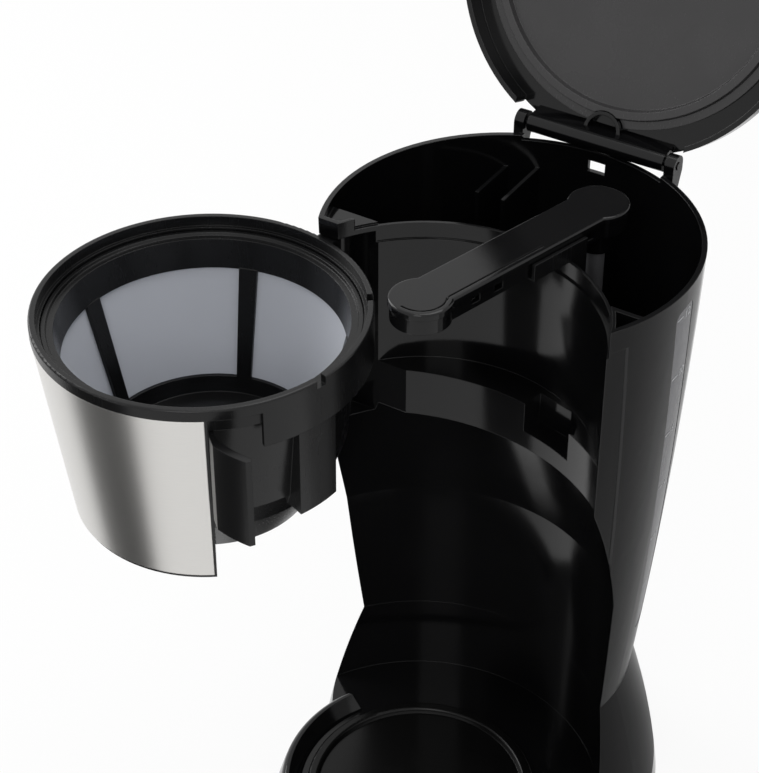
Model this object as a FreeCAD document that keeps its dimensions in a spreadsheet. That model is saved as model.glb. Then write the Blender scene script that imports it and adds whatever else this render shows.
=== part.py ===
import FreeCAD, Part
import math
import os
import Sketcher
from FreeCAD import Placement, Rotation, Vector

# Drip coffee maker with a swing-out filter holder, in millimetres.
# +Z is up and z = 0 is the table. The origin lies under the drip axis, the common axis of the
# hot plate and the closed filter holder. -Y is the front, and +X is the side with the level window.
# The lid stands open and the holder is swung out; their closed shapes are turned about the hinges.

doc = FreeCAD.newDocument("drip_coffee_maker")

DRIVING_SIZES = {
    # tower: a turned body round its own axis, with the bays bored round the drip axis
    "body_axis_y": 73.0,
    "body_radius": 88.0,
    "waist_radius": 72.0,
    "flank_curve": 3380.0,
    "rim_z": 340.0,
    "seam_z": 86.0,
    "wall": 2.5,
    "tank_floor_z": 104.0,
    "bay_radius": 77.5,
    "bay_edge_z": 334.0,
    "ledge_z": 258.5,
    "collar_radius": 107.0,
    "collar_axis_y": -46.5,
    "carafe_top_z": 233.0,
    "carafe_radius": 91.5,
    "carafe_shoulder_z": 165.0,
    "shoulder_curve": 400.0,
    "wing_band_z": 329.0,
    # base and hot plate
    "base_foot_z": 1.5,
    "base_rear_radius": 92.0,
    "base_front_radius": 80.0,
    "base_flare": 460.0,
    "deck_z": 41.0,
    "lip_z": 50.0,
    "lip_radius": 68.5,
    "plate_radius": 58.2,
    "plate_hole_radius": 55.0,
    # water path
    "pipe_x": 26.0,
    "pipe_y": 107.5,
    "riser_radius": 4.7,
    "heater_radius": 5.5,
    "heater_z": 31.6,
    "arm_bottom_z": 335.0,
    "arm_top_z": 346.0,
    "arm_width": 23.0,
    # filter holder, closed round the drip axis
    "holder_radius": 75.2,
    "holder_rim_z": 333.0,
    "holder_foot_z": 231.0,
    "holder_foot_radius": 62.4,
    "steel_gauge": 0.8,
    "hinge_x": -74.0,
    "hinge_y": 44.0,
    "hinge_pin_radius": 2.5,
    "swing": 70.0,
    # lid, closed on the rim
    "lid_radius": 88.5,
    "lid_front_radius": 77.0,
    "lid_edge_z": 341.0,
    "lid_top_z": 354.0,
    "lid_hinge_y": 157.0,
    "lid_hinge_z": 344.5,
    "lid_pin_radius": 2.0,
    "lid_open": 110.0,
    # fits
    "running_gap": 0.06,
}

sheet = doc.addObject("Spreadsheet::Sheet", "Sizes")
for row, (alias, number) in enumerate(DRIVING_SIZES.items(), start=1):
    sheet.set("A%d" % row, alias)
    sheet.set("B%d" % row, str(number))
    sheet.setAlias("B%d" % row, alias)
doc.recompute()


class Size:
    """A length that carries both its number and the sheet expression it comes from."""

    def __init__(self, value, text):
        self.value = float(value)
        self.text = text

    def __float__(self):
        return self.value

    def join(self, sign, other, value):
        right = other.text if isinstance(other, Size) else "(%r)" % float(other)
        return Size(value, "(%s %s %s)" % (self.text, sign, right))

    def __add__(self, other):
        return self.join("+", other, self.value + float(other))

    def __sub__(self, other):
        return self.join("-", other, self.value - float(other))

    def __mul__(self, other):
        return self.join("*", other, self.value * float(other))

    def __truediv__(self, other):
        return self.join("/", other, self.value / float(other))

    def __neg__(self):
        return self * -1.0

    def __radd__(self, other):
        return self + other

    def __rsub__(self, other):
        return -self + other


def size(alias):
    return Size(DRIVING_SIZES[alias], "Sizes." + alias)


body_y = size("body_axis_y")
wall = size("wall")
rim_z = size("rim_z")
seam_z = size("seam_z")
bay_r = size("bay_radius")
ledge_z = size("ledge_z")
collar_r = size("collar_radius")
collar_y = size("collar_axis_y")
carafe_r = size("carafe_radius")
carafe_top_z = size("carafe_top_z")
shoulder_z = size("carafe_shoulder_z")
deck_z = size("deck_z")
foot_z = size("base_foot_z")
pipe_x = size("pipe_x")
pipe_y = size("pipe_y")
arm_bottom_z = size("arm_bottom_z")
arm_top_z = size("arm_top_z")
holder_r = size("holder_radius")
holder_rim_z = size("holder_rim_z")
holder_foot_z = size("holder_foot_z")
hinge_x = size("hinge_x")
hinge_y = size("hinge_y")
lid_y = size("lid_hinge_y")
lid_z = size("lid_hinge_z")
gap = size("running_gap")


# Sketch and feature helpers

def bind(obj, path, value):
    """Tie a property or constraint to the sheet where the value comes from it."""
    if isinstance(value, Size):
        obj.setExpression(path, value.text)


def new_body(name):
    return doc.addObject("PartDesign::Body", name)


def new_sketch(body, plane="XY", at=(0, 0, 0), turn=0.0):
    """Attach a sketch to an origin plane of its body, moved to a point and turned about Z."""
    sketch = body.newObject("Sketcher::SketchObject", "Sketch")
    role = plane + "_Plane"
    support = [feature for feature in body.Origin.OriginFeatures if feature.Role == role][0]
    sketch.AttachmentSupport = [(support, "")]
    sketch.MapMode = "FlatFace"
    x, y, z = at
    local = {"XY": (x, y, z), "XZ": (x, z, -y), "YZ": (y, z, x)}[plane]
    spin = Vector(0, 0, 1) if plane == "XY" else Vector(0, 1, 0)
    sketch.AttachmentOffset = Placement(Vector(*[float(v) for v in local]), Rotation(spin, turn))
    for axis, value in zip("xyz", local):
        bind(sketch, "AttachmentOffset.Base." + axis, value)
    return sketch


def fix(sketch, kind, where, value):
    index = sketch.addConstraint(Sketcher.Constraint(kind, *where, float(value)))
    bind(sketch, "Constraints[%d]" % index, value)


def fix_point(sketch, geometry, point, x, y):
    fix(sketch, "DistanceX", (-1, 1, geometry, point), x)
    fix(sketch, "DistanceY", (-1, 1, geometry, point), y)


def circle(sketch, x, y, radius):
    shape = Part.Circle(Vector(float(x), float(y), 0), Vector(0, 0, 1), float(radius))
    index = sketch.addGeometry(shape, False)
    fix_point(sketch, index, 3, x, y)
    fix(sketch, "Radius", (index,), radius)


def arc_between(start, end, radius):
    """Short arc from start to end; a positive radius bulges to the right of the travel."""
    chord = end.sub(start)
    side = 1.0 if radius > 0 else -1.0
    right = Vector(chord.y, -chord.x, 0).normalize() * side
    rise = math.sqrt(radius ** 2 - (chord.Length / 2) ** 2)
    centre = (start + end) * 0.5 - right * rise
    first = math.atan2(start.y - centre.y, start.x - centre.x)
    last = math.atan2(end.y - centre.y, end.x - centre.x)
    full = Part.Circle(centre, Vector(0, 0, 1), abs(radius))
    if side > 0:
        return Part.ArcOfCircle(full, first, last), 1, 2
    return Part.ArcOfCircle(full, last, first), 2, 1


def outline(sketch, points, closed=True):
    """Join points by lines; a third entry in a point makes its next side an arc of that radius."""
    corners = [Vector(float(p[0]), float(p[1]), 0) for p in points]
    count = len(points) if closed else len(points) - 1
    ends = []
    for i in range(count):
        start, end = corners[i], corners[(i + 1) % len(points)]
        if len(points[i]) == 3:
            shape, first, last = arc_between(start, end, float(points[i][2]))
        else:
            shape, first, last = Part.LineSegment(start, end), 1, 2
        ends.append((sketch.addGeometry(shape, False), first, last))
    for i in range(count if closed else count - 1):
        index, _, last = ends[i]
        following, first, _ = ends[(i + 1) % count]
        sketch.addConstraint(Sketcher.Constraint("Coincident", index, last, following, first))
    for i in range(count):
        fix_point(sketch, ends[i][0], ends[i][1], points[i][0], points[i][1])
        if len(points[i]) == 3:
            radius = points[i][2]
            fix(sketch, "Radius", (ends[i][0],), radius if float(radius) > 0 else -radius)
    if not closed:
        fix_point(sketch, ends[-1][0], ends[-1][2], points[-1][0], points[-1][1])


def rectangle(sketch, x0, y0, x1, y1):
    outline(sketch, [(x0, y0), (x1, y0), (x1, y1), (x0, y1)])


def feature(body, kind, sketch, **values):
    made = body.newObject("PartDesign::" + kind, kind)
    made.Profile = sketch
    for name, value in values.items():
        if isinstance(value, Size):
            setattr(made, name, float(value))
            bind(made, name, value)
        else:
            setattr(made, name, value)
    return made


def pad(body, sketch, length, down=False):
    return feature(body, "Pad", sketch, Length=length, Reversed=down)


def pocket(body, sketch, length, up=True):
    """Cut along the sketch normal, or against it."""
    return feature(body, "Pocket", sketch, Length=length, Reversed=up)


def revolve(body, sketch, angle=360.0):
    axis = (sketch, ["V_Axis"])
    return feature(body, "Revolution", sketch, ReferenceAxis=axis, Angle=angle)


def groove(body, sketch, angle=360.0):
    axis = (sketch, ["V_Axis"])
    return feature(body, "Groove", sketch, ReferenceAxis=axis, Angle=angle)


def turned(body, points, at=(0, 0, 0), start=0.0, angle=360.0):
    """Add a profile of (radius, height) points revolved about a vertical axis."""
    sketch = new_sketch(body, "XZ", at, start)
    outline(sketch, points)
    return revolve(body, sketch, angle)


def cut_turned(body, points, at=(0, 0, 0), start=0.0, angle=360.0):
    """Cut away a profile of (radius, height) points revolved about a vertical axis."""
    sketch = new_sketch(body, "XZ", at, start)
    outline(sketch, points)
    return groove(body, sketch, angle)


def disc(body, x, y, radius, bottom, height):
    sketch = new_sketch(body, "XY", (0, 0, bottom))
    circle(sketch, x, y, radius)
    return pad(body, sketch, height)


def bore(body, x, y, radius, bottom, height):
    sketch = new_sketch(body, "XY", (0, 0, bottom))
    circle(sketch, x, y, radius)
    return pocket(body, sketch, height)


def block(body, x0, y0, x1, y1, bottom, height):
    sketch = new_sketch(body, "XY", (0, 0, bottom))
    rectangle(sketch, x0, y0, x1, y1)
    return pad(body, sketch, height)


def cut_block(body, x0, y0, x1, y1, bottom, height):
    sketch = new_sketch(body, "XY", (0, 0, bottom))
    rectangle(sketch, x0, y0, x1, y1)
    return pocket(body, sketch, height)


def pipe(body, profile, spine):
    made = body.newObject("PartDesign::AdditivePipe", "Pipe")
    made.Profile = profile
    made.Spine = spine
    return made


def boolean(kind, name, base, tool):
    made = doc.addObject("Part::" + kind, name)
    made.Base = base
    made.Tool = tool
    return made


def fillet(body, radius, chosen):
    """Round the edges of the body's last feature that the test picks."""
    doc.recompute()
    base = body.Tip
    names = ["Edge%d" % (i + 1) for i, edge in enumerate(base.Shape.Edges) if chosen(edge)]
    made = body.newObject("PartDesign::Fillet", "Fillet")
    made.Base = (base, names)
    made.Radius = radius
    return made


def flat_at(z):
    """Pick edges that lie in one level."""
    return lambda edge: abs(edge.BoundBox.ZMin - z) < 0.01 and abs(edge.BoundBox.ZMax - z) < 0.01


nodes = []
lid_nodes = []
holder_nodes = []


def node(label, made, group=None):
    made.Label = label
    nodes.append(made)
    if group is not None:
        group.append(made)


# Tower: outer skin, tank space, bays, hinges

skin = size("flank_curve")
shoulder_curve = size("shoulder_curve")
body_r = size("body_radius")
waist_r = size("waist_radius")
hinge_space_y = hinge_y + 8.0
end_wall_y = 41.5
hinge_roof_y = hinge_y - 7.5


def flank(inset, z0, z1):
    """Bottom and top points of the tower's curved side between two heights, moved inwards."""
    low = waist_r - inset
    top = body_r - inset
    rise = float(rim_z) - float(seam_z)
    sag = 2.4

    def radius_at(z):
        part = (float(z) - float(seam_z)) / rise
        bulge = 4 * sag * part * (1 - part)
        return low + (top - low) * part + bulge

    return [(radius_at(z0), z0, skin), (radius_at(z1), z1)]


def tower_ring(name, outset, inset, z0, z1):
    """Ring that follows the tower's side, for cutting or keeping a part of its skin."""
    ring = new_body(name)
    outside = flank(-outset, z0, z1)
    inside = flank(inset, z0, z1)
    points = outside + [(inside[1][0], inside[1][1], -skin), (inside[0][0], inside[0][1])]
    turned(ring, points, (0, body_y, 0))
    return ring


def carafe_bay_profile(inset, top, bottom):
    """Half section of the carafe bay, moved inwards into the tower's material."""
    return [
        (0, bottom),
        (carafe_r + inset, bottom),
        (carafe_r + inset, shoulder_z, shoulder_curve),
        (bay_r + inset, top),
        (0, top),
    ]


# where the collar's circle crosses the bay's, between the drip axis and the wings
wing_y = (float(bay_r) ** 2 - float(collar_r) ** 2 + float(collar_y) ** 2) / (2 * float(collar_y))
wing_x = math.sqrt(float(bay_r) ** 2 - wing_y ** 2)

tower_solid = new_body("TowerSolid")
turned(tower_solid, [(0, seam_z)] + flank(0, seam_z, rim_z) + [(0, rim_z)], (0, body_y, 0))
bore(tower_solid, 0, 0, bay_r, ledge_z, 90.0)
bore(tower_solid, 0, 0, bay_r + 1.0, size("bay_edge_z") - 8.5, 20.0)
collar = new_sketch(tower_solid, "XY", (0, 0, carafe_top_z))
outline(collar, [
    (wing_x, wing_y, collar_r),
    (-wing_x, wing_y, bay_r),
    (-bay_r, 0),
    (-bay_r, -30.0),
    (bay_r, -30.0),
    (bay_r, 0, bay_r),
])
pocket(tower_solid, collar, ledge_z - carafe_top_z)
cut_turned(tower_solid, carafe_bay_profile(0, carafe_top_z, seam_z - 1))
# the bay wall stands lower than the rim between the two wings
bay_edge = new_sketch(tower_solid, "XY", (0, 0, size("bay_edge_z")))
edge_r = bay_r + wall + 0.5
edge_x = math.sqrt(float(edge_r) ** 2 - 44.0 ** 2)
outline(bay_edge, [(edge_x, 44.0, edge_r), (-edge_x, 44.0)])
pocket(tower_solid, bay_edge, 10.0)
# space for the holder's hinge in the left wing, and the notch in the ledge
cut_block(tower_solid, -100.0, 0, -40.0, hinge_space_y, 228.0, 331.5 - 228.0)
cut_block(tower_solid, -100.0, 0, -40.0, hinge_roof_y, 331.0, 12.0)
ledge_notch = new_sketch(tower_solid, "XY", (0, 0, ledge_z - 16.0))
outline(ledge_notch, [(17.0, 50.0), (49.0, 50.0), (46.0, 60.0), (40.0, 65.0), (21.0, 70.0)])
pocket(tower_solid, ledge_notch, 20.0)
# rear: overflow window and the dip that clears the lid's hinge barrel
overflow = new_sketch(tower_solid, "XZ", (0, body_y + 60.0, 0))
rectangle(overflow, -4.5, 326.5, 4.5, 332.5)
pocket(tower_solid, overflow, 40.0, up=False)
cut_block(tower_solid, -36.9, 145.0, 36.9, 170.0, 337.5, 6.0)

tank_space = new_body("TankSpace")
tank_floor_z = size("tank_floor_z")
tank_flank = flank(wall, tank_floor_z, rim_z + 2.0)
turned(tank_space, [(0, tank_floor_z)] + tank_flank + [(0, rim_z + 2.0)], (0, body_y, 0))
bore(tank_space, 0, 0, bay_r + wall, ledge_z - wall, 90.0)
bore(tank_space, 0, collar_y, collar_r + wall, carafe_top_z - 6.0, ledge_z - carafe_top_z + 6.0 - wall)
cut_turned(tank_space, carafe_bay_profile(wall, carafe_top_z + wall, tank_floor_z - 2.0))
cut_block(tank_space, 0, -20.0, 100.0, end_wall_y, 100.0, 200.0)
cut_block(tank_space, 0, end_wall_y, 100.0, end_wall_y + wall, 290.0, 60.0)
cut_block(tank_space, 0, -20.0, 100.0, end_wall_y + wall, 200.0, 95.0)
cut_block(tank_space, -100.0, -20.0, 0, hinge_space_y + wall, 200.0, 135.0)
cut_block(tank_space, -100.0, -20.0, 0, hinge_roof_y + wall, 330.0, 20.0)
# walls round the notch in the ledge
cut_block(tank_space, 14.0, 45.0, 52.0, 73.0, ledge_z - 19.0, 20.0)
# two upright ribs on the tank's rear wall stay standing
for rib_x in (-44.0, -30.0):
    cut_block(tank_space, rib_x, 118.0, rib_x + 2.0, 165.0, 103.0, 220.0)

under_floor = new_body("UnderFloor")
floor_flank = flank(wall, seam_z - 2.0, tank_floor_z - wall)
points = [(0, seam_z - 2.0)] + floor_flank + [(0, tank_floor_z - wall)]
turned(under_floor, points, (0, body_y, 0))
bore(under_floor, 0, 0, carafe_r + wall, seam_z - 5.0, 40.0)
cut_block(under_floor, -100.0, -30.0, 100.0, 70.0, 80.0, 40.0)

hinge_lugs = new_body("HingeLugs")
# lower lug of the holder hinge reaches forward from the wing's end wall
disc(hinge_lugs, hinge_x, hinge_y, 6.5, 284.0, 10.0)
block(hinge_lugs, hinge_x - 6.5, hinge_y, hinge_x + 6.5, hinge_space_y + 1.5, 284.0, 10.0)
bore(hinge_lugs, hinge_x, hinge_y, size("hinge_pin_radius"), 280.0, 20.0)

lid_lugs = new_body("LidLugs")
for lug_x in (-42.5, 37.5):
    lug = new_sketch(lid_lugs, "YZ", (lug_x, 0, 0))
    lug_r = 5.2
    outline(lug, [
        (lid_y - lug_r, lid_z - 10.0),
        (lid_y - 1.0, lid_z - 16.0),
        (lid_y + 0.5, lid_z - 16.0),
        (lid_y + lug_r, lid_z - 4.0),
        (lid_y + lug_r, lid_z, lug_r),
        (lid_y, lid_z + lug_r, lug_r),
        (lid_y - lug_r, lid_z),
    ])
    pad(lid_lugs, lug, 5.0)
pin_hole = new_sketch(lid_lugs, "YZ", (-50.0, 0, 0))
circle(pin_hole, lid_y, lid_z, size("lid_pin_radius"))
pocket(lid_lugs, pin_hole, 100.0)

wing_recess_ring = tower_ring("WingRecessRing", 3.0, 1.2, 150.0, size("wing_band_z"))
# the crease that ends the recess leans back as it goes down
wing_side = new_body("WingSide")
wing_crease = new_sketch(wing_side, "YZ", (45.0, 0, 0))
outline(wing_crease, [(-20.0, 140.0), (48.0, 140.0), (34.0, 340.0), (-20.0, 340.0)])
pad(wing_side, wing_crease, 60.0)
wing_recess = boolean("Common", "WingRecess", wing_recess_ring, wing_side)

# level window: a rounded upright strip of the skin on the right side
window_turn = 5.8
window_lean = 5.0
window_low = 124.0
window_high = 331.0
window_mid = (window_low + window_high) / 2


def window_strip(name, half, low, high):
    """Upright rounded slab that crosses the tower's skin at the level window."""
    strip = new_body(name)
    sketch = new_sketch(strip, "YZ", (60.0, 0, 0))
    corner = 4.0
    outline(sketch, [
        (-half + corner, low),
        (half - corner, low, corner),
        (half, low + corner),
        (half, high - corner, corner),
        (half - corner, high),
        (-half + corner, high, corner),
        (-half, high - corner),
        (-half, low + corner, corner),
    ])
    pad(strip, sketch, 35.0)
    round_tower = Placement(Vector(0, float(body_y), 0), Rotation(Vector(0, 0, 1), window_turn))
    leaning = Placement(Vector(0, 0, 0), Rotation(Vector(1, 0, 0), window_lean), Vector(0, 0, window_mid))
    strip.Placement = round_tower * leaning
    return strip


window_slot_strip = window_strip("WindowSlotStrip", 8.0, window_low, window_high)
window_ring = tower_ring("WindowRing", -0.15, 2.3, 112.0, 336.0)
window_shape = window_strip("WindowStrip", 7.95, window_low + 0.05, window_high - 0.05)
level_window = boolean("Common", "LevelWindow", window_ring, window_shape)
node("level_window", level_window)

tower = boolean("Cut", "TowerHollow", tower_solid, tank_space)
tower = boolean("Cut", "TowerOpen", tower, under_floor)
tower = boolean("Cut", "TowerRecess", tower, wing_recess)
tower = boolean("Cut", "TowerSlot", tower, window_slot_strip)
tower = boolean("Fuse", "TowerHinge", tower, hinge_lugs)
tower = boolean("Fuse", "TowerLid", tower, lid_lugs)

tower_holes = new_body("TowerHoles")
disc(tower_holes, pipe_x, pipe_y, size("riser_radius"), 95.0, 15.0)
disc(tower_holes, -pipe_x, pipe_y, 5.0, 95.0, 15.0)
disc(tower_holes, hinge_x, hinge_y, size("hinge_pin_radius"), 325.0, 11.0)
tower = boolean("Cut", "TowerHousing", tower, tower_holes)
node("tower_housing", tower)

# Base: flared foot of the tower and the dished deck round the hot plate

flare = size("base_flare")
rear_r = size("base_rear_radius")
front_r = size("base_front_radius")
lip_r = size("lip_radius")
lip_z = size("lip_z")

base_solid = new_body("BaseSolid")
turned(base_solid, [
    (0, foot_z),
    (rear_r - 0.3, foot_z, flare),
    (waist_r, seam_z),
    (0, seam_z),
], (0, body_y, 0))
bore(base_solid, 0, 0, carafe_r, deck_z, 60.0)
turned(base_solid, [
    (0, foot_z),
    (front_r - 0.3, foot_z, 160.0),
    (lip_r + 2.5, lip_z - 3.0, 4.0),
    (lip_r, lip_z),
    (lip_r - 1.5, lip_z),
    (lip_r - 7.0, deck_z),
    (0, deck_z),
])
# the raised lip runs out where the tower stands
deck_rear = new_sketch(base_solid, "XY", (0, 0, deck_z))
rear_x = math.sqrt(float(carafe_r) ** 2 - 30.0 ** 2)
outline(deck_rear, [(rear_x, 30.0, carafe_r), (-rear_x, 30.0)])
pocket(base_solid, deck_rear, 12.0)
bore(base_solid, 0, 0, size("plate_hole_radius"), deck_z - 10.0, 20.0)
switch_hole = new_sketch(base_solid, "XZ", (0, -60.0, 0))
switch_z = 23.0
rectangle(switch_hole, -13.0, switch_z - 8.0, 13.0, switch_z + 8.0)
pocket(base_solid, switch_hole, 30.0, up=True)
gland_z = 20.0
gland_hole = new_sketch(base_solid, "XZ", (0, 150.0, 0))
circle(gland_hole, 0, gland_z, 5.0)
pocket(base_solid, gland_hole, 30.0, up=False)

base_rear_space = new_body("BaseRearSpace")
turned(base_rear_space, [
    (0, 0),
    (rear_r - wall, 0, flare),
    (waist_r - wall, seam_z + 1.0),
    (0, seam_z + 1.0),
], (0, body_y, 0))
bore(base_rear_space, 0, 0, carafe_r + wall, deck_z - wall, 60.0)
base_front_space = new_body("BaseFrontSpace")
turned(base_front_space, [
    (0, 0),
    (front_r - wall, 0, 160.0),
    (lip_r + 3.4, deck_z - wall),
    (0, deck_z - wall),
])

screw_places = [(-47.0, -37.0), (47.0, -37.0), (-68.0, 114.0), (68.0, 114.0)]
foot_places = [(-30.0, -55.0), (30.0, -55.0), (-62.0, 88.0), (62.0, 88.0)]

screw_bosses = new_body("ScrewBosses")
for x, y in screw_places:
    boss_top = deck_z - 1.0 if y < 0 else Size(26.0, "26.0")
    boss_r = 4.2 if y < 0 else 9.0
    disc(screw_bosses, x, y, boss_r, 4.2, boss_top - 4.2)
    bore(screw_bosses, x, y, 1.3, 3.0, 14.0)
base_keep = new_body("BaseKeep")
turned(base_keep, [
    (0, 2.0),
    (rear_r - 1.0, 2.0, flare),
    (waist_r - 1.0, seam_z),
    (0, seam_z),
], (0, body_y, 0))
disc(base_keep, 0, 0, lip_r - 1.0, 2.0, 40.0)
bosses = boolean("Common", "Bosses", screw_bosses, base_keep)

base = boolean("Cut", "BaseRear", base_solid, base_rear_space)
base = boolean("Cut", "BaseFront", base, base_front_space)
base = boolean("Fuse", "BaseHousing", base, bosses)
node("base_housing", base)

base_cover = new_body("BaseCover")
disc(base_cover, 0, body_y, rear_r - wall - 1.2, foot_z, 2.5)
disc(base_cover, 0, 0, front_r - wall - 0.8, foot_z, 2.5)
for x, y in foot_places:
    bore(base_cover, x, y, 8.1, 0, 10.0)
for x, y in screw_places:
    bore(base_cover, x, y, 1.7, 0, 10.0)
    bore(base_cover, x, y, 3.4, 0, 2.9)
# slots that let air into the base
for slot in range(5):
    x = -24.0 + 12.0 * slot
    cut_block(base_cover, x - 1.5, 96.0, x + 1.5, 124.0, 0, 10.0)
node("base_cover", base_cover)

feet = new_body("Foot")
turned(feet, [(0, 0), (7.0, 0), (8.0, 1.0), (8.0, 4.1), (10.0, 4.1), (10.0, 5.6), (0, 5.6)])
foot_group = doc.addObject("Part::Feature", "RubberFeet")
screw = new_body("Screw")
turned(screw, [(0, 1.7), (3.1, 1.7), (3.1, 2.8), (1.3, 2.8), (1.3, 14.0), (0, 16.0)])
screw_group = doc.addObject("Part::Feature", "CoverScrews")
doc.recompute()
foot_group.Shape = Part.makeCompound([feet.Shape.translated(Vector(x, y, 0)) for x, y in foot_places])
screw_group.Shape = Part.makeCompound([screw.Shape.translated(Vector(x, y, 0)) for x, y in screw_places])
node("rubber_feet", foot_group)
node("cover_screws", screw_group)

# Hot plate and what heats the water under it

plate_r = size("plate_radius")
plate_hole_r = size("plate_hole_radius")

hot_plate = new_body("HotPlate")
turned(hot_plate, [
    (0, deck_z - 3.5),
    (plate_hole_r - 0.4, deck_z - 3.5),
    (plate_hole_r - 0.4, deck_z + 0.8),
    (plate_r, deck_z + 0.8),
    (plate_r, deck_z + 1.4, 1.4),
    (plate_r - 1.4, deck_z + 2.6),
    (plate_r - 3.6, deck_z + 2.6, 1.6),
    (plate_r - 5.4, deck_z + 1.2),
    (plate_r - 6.0, deck_z),
    (0, deck_z),
])
node("hot_plate", hot_plate)

plate_seal = new_body("PlateSeal")
turned(plate_seal, [
    (plate_hole_r - 0.2, deck_z),
    (plate_r + 0.6, deck_z),
    (plate_r + 0.6, deck_z + 0.7),
    (plate_hole_r - 0.2, deck_z + 0.7),
])
node("plate_seal", plate_seal)

heater_r = size("heater_radius")
heater_z = size("heater_z")
heater_end_y = 40.0

heater = new_body("Heater")
heater_path = new_sketch(heater, "XY", (0, 0, heater_z))
outline(heater_path, [
    (-pipe_x, heater_end_y),
    (-pipe_x, 0, pipe_x),
    (0, -pipe_x, pipe_x),
    (pipe_x, 0),
    (pipe_x, heater_end_y),
], closed=False)
heater_section = new_sketch(heater, "XZ", (0, heater_end_y, 0))
circle(heater_section, -pipe_x, heater_z, heater_r)
pipe(heater, heater_section, heater_path)
node("heater_tube", heater)

clamp = new_body("HeaterClamp")
clamp_top = heater_z - heater_r - 0.1
block(clamp, -36.0, 6.0, 36.0, 22.0, clamp_top - 2.0, 2.0)
bore(clamp, 0, 14.0, 2.2, 20.0, 10.0)
for x in (-11.0, 11.0):
    block(clamp, x - 5.0, 6.0, x + 5.0, 22.0, clamp_top - 3.5, 1.6)
node("heater_clamp", clamp)

thermostat = new_body("Thermostat")
disc(thermostat, 0, -4.0, 8.0, deck_z - 12.5, 8.8)
block(thermostat, -11.5, -6.0, 11.5, -2.0, deck_z - 10.0, 1.0)
node("thermostat", thermostat)

fuse = new_body("ThermalFuse")
fuse_section = new_sketch(fuse, "YZ", (-8.0, 0, 0))
circle(fuse_section, 32.0, deck_z - 6.2, 2.4)
pad(fuse, fuse_section, 16.0)
fuse_leads = new_sketch(fuse, "YZ", (-14.0, 0, 0))
circle(fuse_leads, 32.0, deck_z - 6.2, 0.8)
pad(fuse, fuse_leads, 28.0)
node("thermal_fuse", fuse)

hose_outer = 5.6
hose_inner = 4.0
hose_bend = 20.0
riser_foot_z = 70.0


def elbow_hose(name, x, top_z):
    """Hose from one end of the heater, round an upward bend to a pipe end above."""
    hose = new_body(name)
    section = new_sketch(hose, "XZ", (0, heater_end_y + 0.1, 0))
    circle(section, x, heater_z, hose_outer)
    circle(section, x, heater_z, hose_inner)
    route = new_sketch(hose, "YZ", (x, 0, 0))
    outline(route, [
        (heater_end_y + 0.1, heater_z),
        (pipe_y - hose_bend, heater_z, hose_bend),
        (pipe_y, heater_z + hose_bend),
        (pipe_y, top_z),
    ], closed=False)
    pipe(hose, section, route)
    return hose


node("hot_hose", elbow_hose("HotHose", pipe_x, riser_foot_z - 0.1))
node("cold_hose", elbow_hose("ColdHose", -pipe_x, 87.9))

check_valve = new_body("CheckValve")
turned(check_valve, [
    (2.5, 88.0),
    (6.5, 88.0),
    (7.5, 90.0),
    (7.5, tank_floor_z - wall - 0.1),
    (4.9, tank_floor_z - wall - 0.1),
    (4.9, tank_floor_z + 4.0),
    (2.5, tank_floor_z + 4.0),
], (-pipe_x, pipe_y, 0))
node("check_valve", check_valve)

riser_r = size("riser_radius")
riser = new_body("Riser")
turned(riser, [
    (riser_r - 1.3, riser_foot_z),
    (riser_r, riser_foot_z),
    (riser_r, arm_bottom_z + 1.0),
    (riser_r - 1.3, arm_bottom_z + 1.0),
], (pipe_x, pipe_y, 0))
node("riser_tube", riser)

# Shower arm: a channel from the riser to the drip axis, its cover, and its saddle

outlet_x = -3.5
arm_length = math.hypot(float(pipe_x) - outlet_x, float(pipe_y))
arm_turn = math.degrees(math.atan2(float(pipe_y), float(pipe_x) - outlet_x))
outlet_end_r = 14.5
riser_end_r = 14.5


def arm_outline(body, inset, bottom, height):
    """Bulb at the outlet, bulb at the riser and the straight neck between them."""
    disc(body, outlet_x, 0, outlet_end_r - inset, bottom, height)
    disc(body, pipe_x, pipe_y, riser_end_r - inset, bottom, height)
    neck = new_sketch(body, "XY", (outlet_x, 0, bottom), arm_turn)
    half = size("arm_width") / 2 - inset
    rectangle(neck, 0, -half, arm_length, half)
    pad(body, neck, height)


arm = new_body("ShowerArm")
arm_split_z = arm_top_z - 3.5
arm_outline(arm, 0.8, arm_bottom_z, arm_split_z - arm_bottom_z)
channel = new_sketch(arm, "XY", (outlet_x, 0, arm_bottom_z + 2.0), arm_turn)
rectangle(channel, 0, -8.0, arm_length, 8.0)
pocket(arm, channel, 20.0)
for x, y, r in ((outlet_x, 0, outlet_end_r - 3.0), (pipe_x, pipe_y, riser_end_r - 3.0)):
    bore(arm, x, y, r, arm_bottom_z + 2.0, 20.0)
for step in range(6):
    angle = math.radians(60.0 * step)
    bore(arm, outlet_x + 6.5 * math.cos(angle), 6.5 * math.sin(angle), 1.6, 320.0, 30.0)
# windows in both side walls for the cover's snap hooks
for start in (20.0, 34.0, 92.0):
    snap = new_sketch(arm, "XY", (outlet_x, 0, arm_bottom_z + 2.6), arm_turn)
    rectangle(snap, start, -14.0, start + 5.0, 14.0)
    pocket(arm, snap, 3.4)
disc(arm, pipe_x, pipe_y, 7.4, arm_bottom_z - 13.0, 13.5)
bore(arm, pipe_x, pipe_y, riser_r, 300.0, 36.0)
bore(arm, pipe_x, pipe_y, riser_r - 1.3, 330.0, 10.0)
node("shower_arm", arm)

arm_cover = new_body("ShowerCover")
arm_outline(arm_cover, 0, arm_split_z + 0.05, arm_top_z - arm_split_z - 0.05)
fillet(arm_cover, 1.2, flat_at(float(arm_top_z)))
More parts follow.
